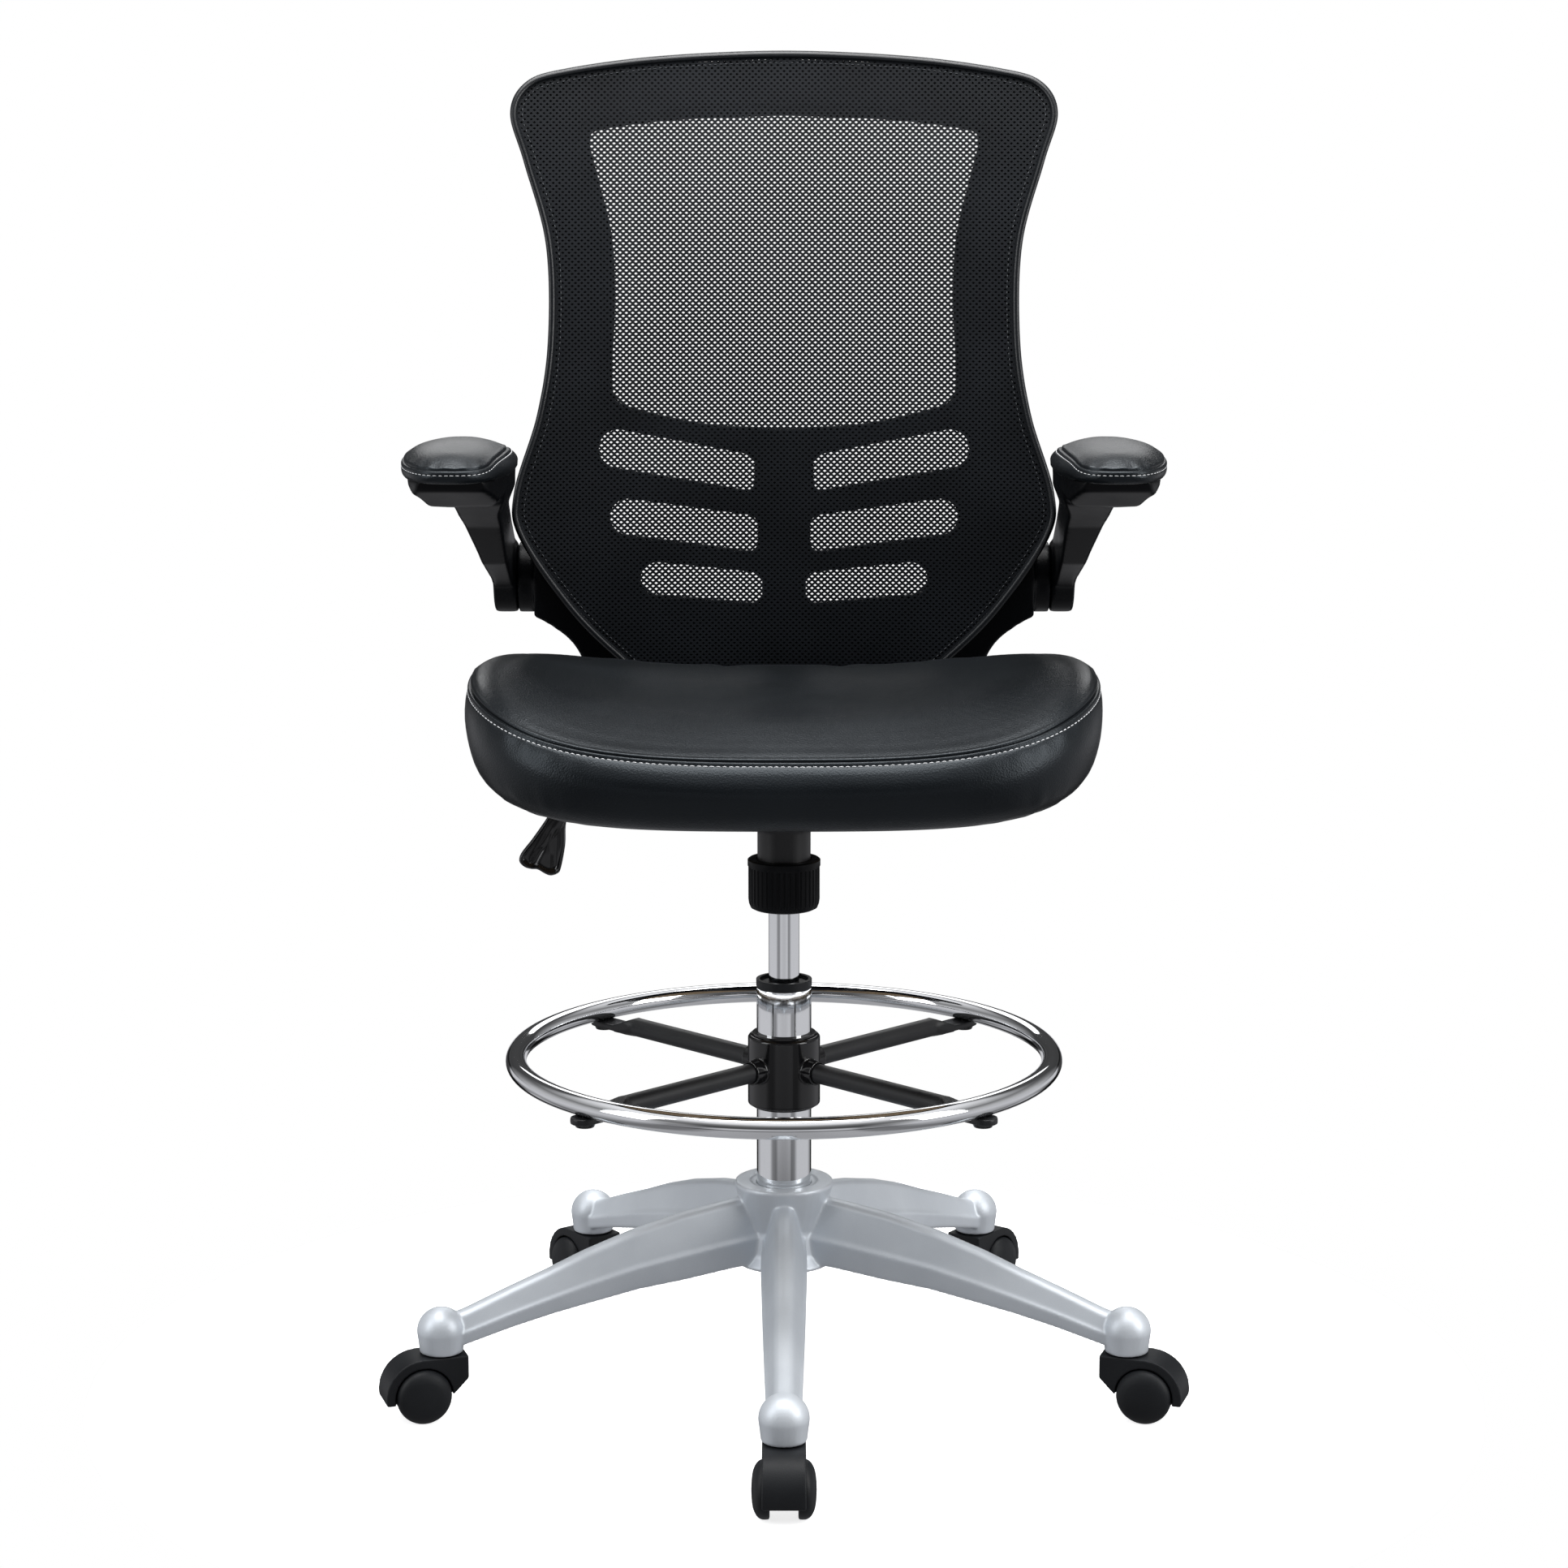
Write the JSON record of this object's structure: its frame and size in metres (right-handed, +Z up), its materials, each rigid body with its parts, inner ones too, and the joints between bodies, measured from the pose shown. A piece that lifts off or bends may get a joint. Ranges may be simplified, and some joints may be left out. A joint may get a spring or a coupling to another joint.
{
  "type": "drafting chair",
  "caption": "Tall drafting chair with five-legged caster base, gas lift, adjustable foot ring, tilting cushioned seat, mesh back and flip-up arms.",
  "frame": {"origin": "on the floor, below the lift column's axis", "axes": "+Z up along the lift column, the sitter faces -Y, +X to the sitter's left"},
  "size_m": [0.7314, 0.6956, 1.215],
  "materials": {
    "silver_cast": "satin",
    "chrome": "polished",
    "black_nylon": "satin",
    "plain_steel": "satin",
    "gloss_black": "gloss",
    "black_steel": "satin",
    "black_plastic": "matte",
    "plywood": "matte",
    "black_leather": "satin",
    "black_mesh": "matte"
  },
  "bodies": {
    "base": {"star_base": "silver_cast", "column_tube": "chrome", "guide_bush": "black_nylon", "thrust_bearing": "plain_steel"},
    "caster_1": {"caster_hood_1": "black_nylon", "caster_pins_1": "plain_steel"},
    "wheel_1a": {"wheel_1a": "black_nylon"},
    "wheel_1b": {"wheel_1b": "black_nylon"},
    "caster_2": {"caster_hood_2": "black_nylon", "caster_pins_2": "plain_steel"},
    "wheel_2a": {"wheel_2a": "black_nylon"},
    "wheel_2b": {"wheel_2b": "black_nylon"},
    "caster_3": {"caster_hood_3": "black_nylon", "caster_pins_3": "plain_steel"},
    "wheel_3a": {"wheel_3a": "black_nylon"},
    "wheel_3b": {"wheel_3b": "black_nylon"},
    "caster_4": {"caster_hood_4": "black_nylon", "caster_pins_4": "plain_steel"},
    "wheel_4a": {"wheel_4a": "black_nylon"},
    "wheel_4b": {"wheel_4b": "black_nylon"},
    "caster_5": {"caster_hood_5": "black_nylon", "caster_pins_5": "plain_steel"},
    "wheel_5a": {"wheel_5a": "black_nylon"},
    "wheel_5b": {"wheel_5b": "black_nylon"},
    "ring_collet": {"ring_collet": "gloss_black"},
    "foot_ring": {"ring_hub": "gloss_black", "ring_spokes": "black_steel", "foot_ring": "chrome", "ring_screws": "gloss_black"},
    "piston": {"piston_rod": "plain_steel", "retaining_clip": "plain_steel"},
    "lift": {"gas_cylinder": "chrome", "cylinder_gland": "black_nylon", "tilt_housing": "black_steel", "tilt_pin": "plain_steel", "tension_spring": "plain_steel"},
    "valve": {"valve_button": "plain_steel"},
    "tension_knob": {"tension_knob": "black_plastic", "tension_screw": "plain_steel"},
    "spring_nut": {"spring_nut": "plain_steel"},
    "lever_block": {"lever_block": "black_nylon"},
    "lever": {"lever_rod": "black_steel", "lever_paddle": "gloss_black"},
    "seat": {"seat_plate": "black_steel", "seat_pan": "plywood", "seat_cushion": "black_leather", "seat_bolts": "plain_steel", "back_yoke": "black_plastic", "back_shell": "black_plastic", "back_trim": "gloss_black", "back_mesh": "black_mesh", "back_bolts": "plain_steel", "arm_bolt_left": "plain_steel", "arm_bolt_right": "plain_steel"},
    "arm_left": {"arm_left": "black_plastic", "arm_pad_left": "black_leather"},
    "arm_right": {"arm_right": "black_plastic", "arm_pad_right": "black_leather"}
  },
  "joints": [
    {"name": "caster_1_swivel", "type": "hinge", "parent": "base", "child": "caster_1", "pos_m": [0, -0.324, 0.0605], "axis": [0, 0, 1], "continuous": true},
    {"name": "wheel_1a_spin", "type": "hinge", "parent": "caster_1", "child": "wheel_1a", "pos_m": [0.01975, -0.344, 0.025], "axis": [1, 0, 0], "continuous": true},
    {"name": "wheel_1b_spin", "type": "hinge", "parent": "caster_1", "child": "wheel_1b", "pos_m": [-0.01975, -0.344, 0.025], "axis": [1, 0, 0], "continuous": true},
    {"name": "caster_2_swivel", "type": "hinge", "parent": "base", "child": "caster_2", "pos_m": [0.30814, -0.10012, 0.0605], "axis": [0, 0, 1], "continuous": true},
    {"name": "wheel_2a_spin", "type": "hinge", "parent": "caster_2", "child": "wheel_2a", "pos_m": [0.33327, -0.08752, 0.025], "axis": [0.309, 0.9511, 0], "continuous": true},
    {"name": "wheel_2b_spin", "type": "hinge", "parent": "caster_2", "child": "wheel_2b", "pos_m": [0.32106, -0.12509, 0.025], "axis": [0.309, 0.9511, 0], "continuous": true},
    {"name": "caster_3_swivel", "type": "hinge", "parent": "base", "child": "caster_3", "pos_m": [0.19044, 0.26212, 0.0605], "axis": [0, 0, 1], "continuous": true},
    {"name": "wheel_3a_spin", "type": "hinge", "parent": "caster_3", "child": "wheel_3a", "pos_m": [0.18622, 0.28991, 0.025], "axis": [-0.809, 0.5878, 0], "continuous": true},
    {"name": "wheel_3b_spin", "type": "hinge", "parent": "caster_3", "child": "wheel_3b", "pos_m": [0.21818, 0.26669, 0.025], "axis": [-0.809, 0.5878, 0], "continuous": true},
    {"name": "caster_4_swivel", "type": "hinge", "parent": "base", "child": "caster_4", "pos_m": [-0.19044, 0.26212, 0.0605], "axis": [0, 0, 1], "continuous": true},
    {"name": "wheel_4a_spin", "type": "hinge", "parent": "caster_4", "child": "wheel_4a", "pos_m": [-0.21818, 0.26669, 0.025], "axis": [-0.809, -0.5878, 0], "continuous": true},
    {"name": "wheel_4b_spin", "type": "hinge", "parent": "caster_4", "child": "wheel_4b", "pos_m": [-0.18622, 0.28991, 0.025], "axis": [-0.809, -0.5878, 0], "continuous": true},
    {"name": "caster_5_swivel", "type": "hinge", "parent": "base", "child": "caster_5", "pos_m": [-0.30814, -0.10012, 0.0605], "axis": [0, 0, 1], "continuous": true},
    {"name": "wheel_5a_spin", "type": "hinge", "parent": "caster_5", "child": "wheel_5a", "pos_m": [-0.32106, -0.12509, 0.025], "axis": [0.309, -0.9511, 0], "continuous": true},
    {"name": "wheel_5b_spin", "type": "hinge", "parent": "caster_5", "child": "wheel_5b", "pos_m": [-0.33327, -0.08752, 0.025], "axis": [0.309, -0.9511, 0], "continuous": true},
    {"name": "foot_ring_slide", "type": "slide", "parent": "base", "child": "ring_collet", "axis": [0, 0, 1], "range_m": [-0.07, 0.041]},
    {"name": "foot_ring_twist", "type": "hinge", "parent": "ring_collet", "child": "foot_ring", "pos_m": [0, 0, 0.2965], "axis": [0, 0, 1], "range_deg": [0, 40]},
    {"name": "seat_swivel", "type": "hinge", "parent": "base", "child": "piston", "pos_m": [0, 0, 0.117], "axis": [0, 0, 1], "continuous": true},
    {"name": "lift_slide", "type": "slide", "parent": "piston", "child": "lift", "axis": [0, 0, 1], "range_m": [-0.1, 0.09]},
    {"name": "valve_press", "type": "slide", "parent": "lift", "child": "valve", "axis": [0, 0, 1], "range_m": [-0.0031, 0]},
    {"name": "knob_turn", "type": "hinge", "parent": "lift", "child": "tension_knob", "pos_m": [0, -0.09, 0.4885], "axis": [0, 0, 1], "range_deg": [-360, 720]},
    {"name": "nut_travel", "type": "slide", "parent": "lift", "child": "spring_nut", "axis": [0, 0, 1], "range_m": [-0.0041, 0.0081], "deforming": ["tension_spring"]},
    {"name": "tilt_lock_slide", "type": "slide", "parent": "lift", "child": "lever_block", "axis": [-1, 0, 0], "range_m": [0, 0.01]},
    {"name": "lever_lift", "type": "hinge", "parent": "lever_block", "child": "lever", "pos_m": [-0.04, 0, 0.551], "axis": [0, 1, 0], "range_deg": [0, 4], "stiffness_Nm_per_rad": 4, "springref_deg": -3.44},
    {"name": "seat_tilt", "type": "hinge", "parent": "lift", "child": "seat", "pos_m": [0, -0.04, 0.552], "axis": [-1, 0, 0], "range_deg": [0, 12], "stiffness_Nm_per_rad": 140, "springref_deg": -28.65},
    {"name": "arm_left_flip", "type": "hinge", "parent": "seat", "child": "arm_left", "pos_m": [-0.2655, 0.24, 0.719], "axis": [-1, 0, 0], "range_deg": [0, 95]},
    {"name": "arm_right_flip", "type": "hinge", "parent": "seat", "child": "arm_right", "pos_m": [0.2655, 0.24, 0.719], "axis": [-1, 0, 0], "range_deg": [0, 95]}
  ],
  "couplings": [
    {"joint": "valve_press", "follows": "lever_lift", "m_per_rad": -0.044},
    {"joint": "nut_travel", "follows": "knob_turn", "m_per_rad": 0.00063662}
  ]
}
